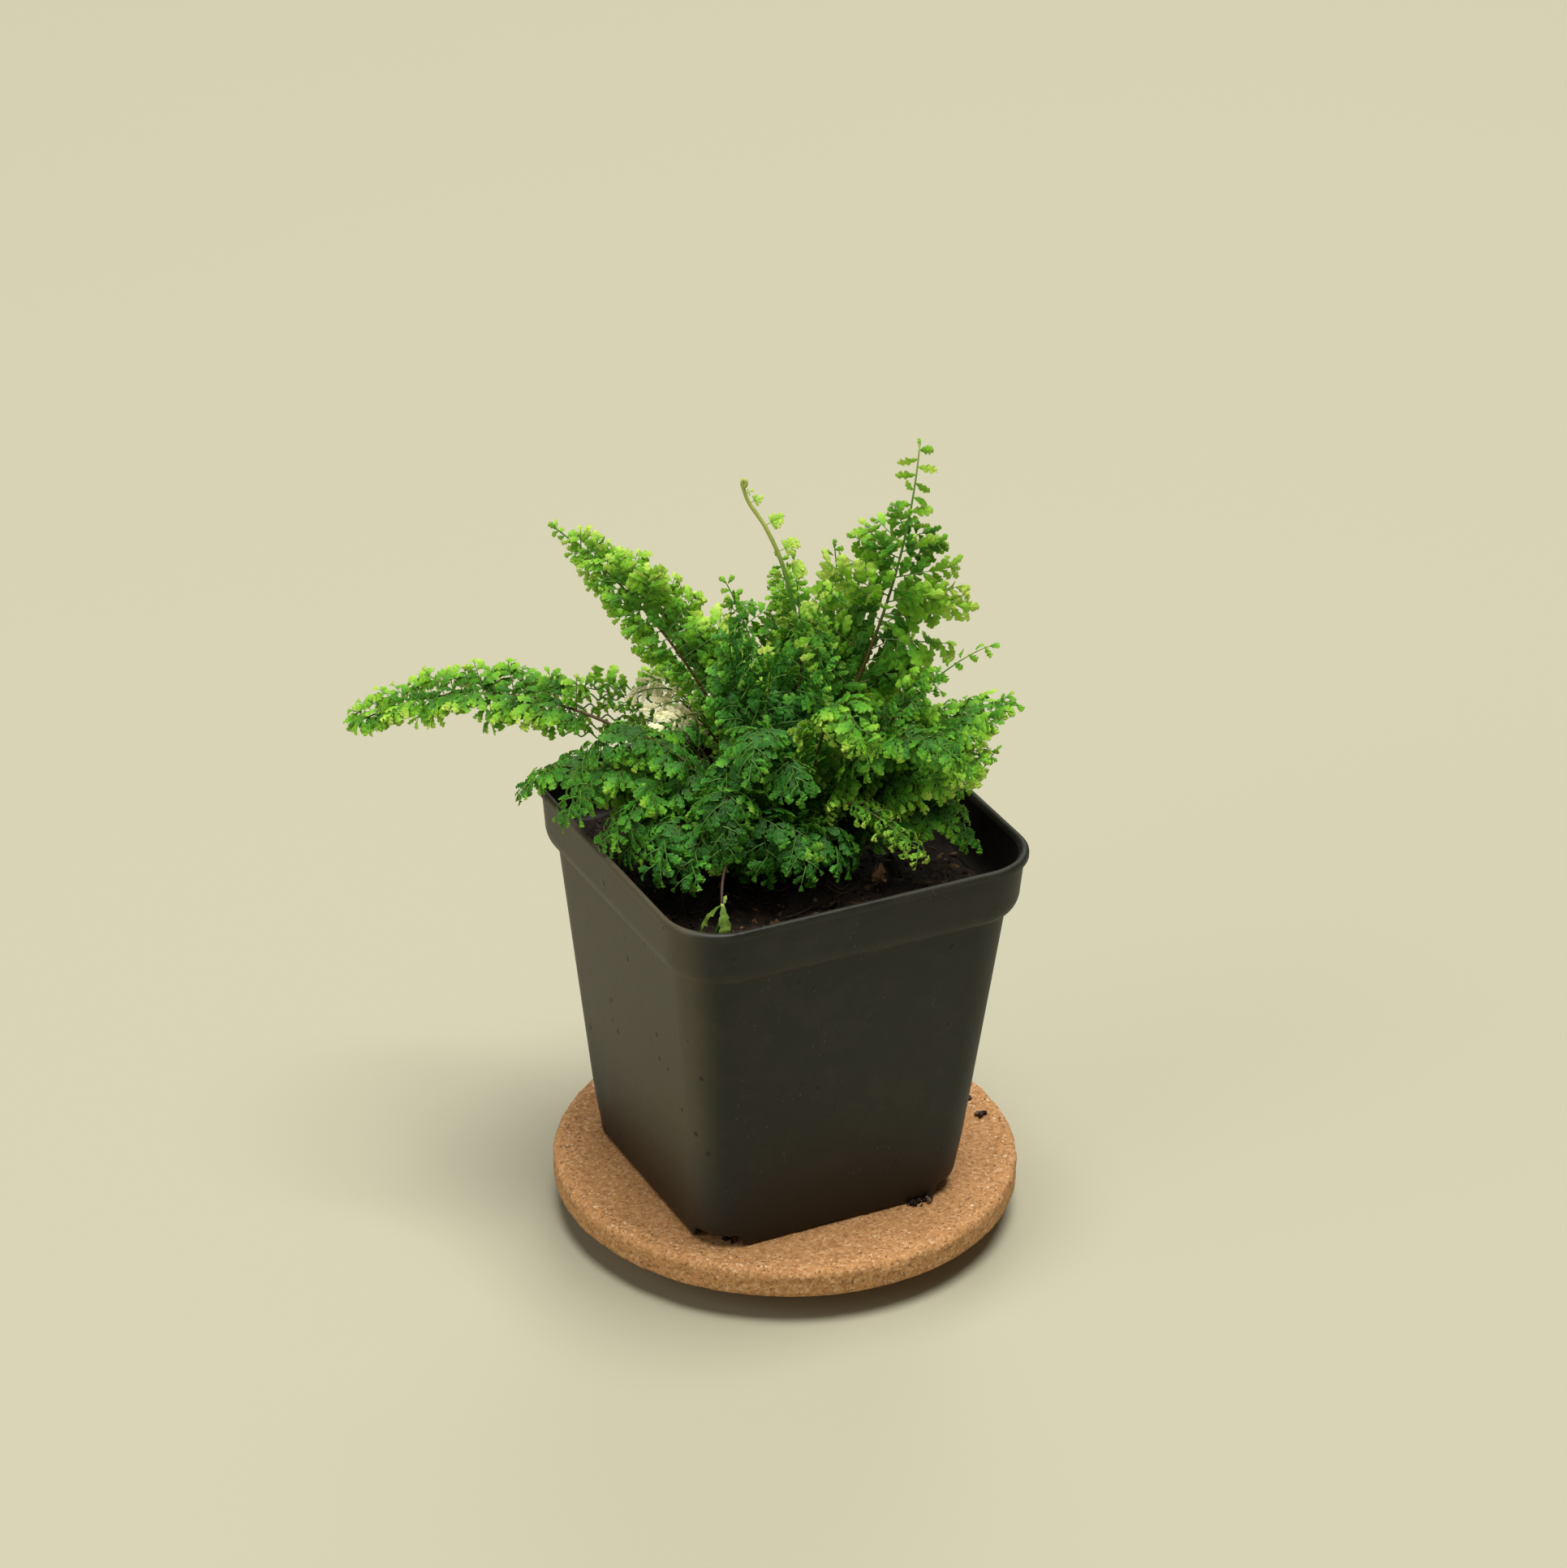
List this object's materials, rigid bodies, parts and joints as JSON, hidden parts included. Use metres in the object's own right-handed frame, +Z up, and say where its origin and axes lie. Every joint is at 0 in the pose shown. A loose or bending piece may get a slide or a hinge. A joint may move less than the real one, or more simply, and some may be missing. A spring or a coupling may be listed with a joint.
{
  "type": "potted fern",
  "caption": "Small lace fern with lobed arching fronds in a square black nursery pot on a round cork stand.",
  "frame": {"origin": "on the pot's upright axis, at the level the cork stand rests on", "axes": "+Z up; -Y is the pot's front face, the wider one in the picture; X runs along that face"},
  "size_m": [0.1384, 0.1186, 0.1935],
  "materials": {
    "pot_plastic": "thin black plastic with a soft satin bloom and soil dust",
    "cork": "pressed cork granules, matte, with dark and light grains",
    "soil": "damp dark peat with crumbs and fibres, matte",
    "crown_fibre": "brown scaly root crown, matte",
    "frond_fresh": "fresh green leaf, thin and translucent",
    "frond_leaf": "mid green leaf, thin and translucent",
    "frond_deep": "deep green leaf with a grey-green sheen",
    "frond_bright": "young yellow-green leaf",
    "frond_pale": "dried cream leaf"
  },
  "bodies": {
    "root": {"cork_stand": "cork", "pot": "pot_plastic", "potting_soil": "soil", "root_crown": "crown_fibre", "fiddlehead": "frond_bright", "frond_long_left": "frond_fresh", "frond_upper_left": "frond_fresh", "frond_tall_right": "frond_fresh", "frond_back_centre": "frond_fresh", "frond_back_right_tall": "frond_fresh", "frond_right_upper": "frond_fresh", "frond_right_middle": "frond_fresh", "frond_right_low": "frond_leaf", "frond_right_inner": "frond_leaf", "frond_back_left_lace": "frond_leaf", "frond_back_left": "frond_leaf", "frond_left_low": "frond_leaf", "frond_left_front": "frond_leaf", "frond_left_inner": "frond_leaf", "frond_front_left": "frond_deep", "frond_front": "frond_deep", "frond_front_right": "frond_deep", "frond_front_curled": "frond_bright", "frond_centre_left": "frond_deep", "frond_centre_front": "frond_deep", "frond_centre_right": "frond_bright", "frond_pale": "frond_pale", "frond_back_far_right": "frond_leaf", "frond_back_far": "frond_leaf", "frond_right_back": "frond_leaf", "sprig_right": "frond_bright", "shoot_corner": "frond_bright"}
  },
  "joints": []
}
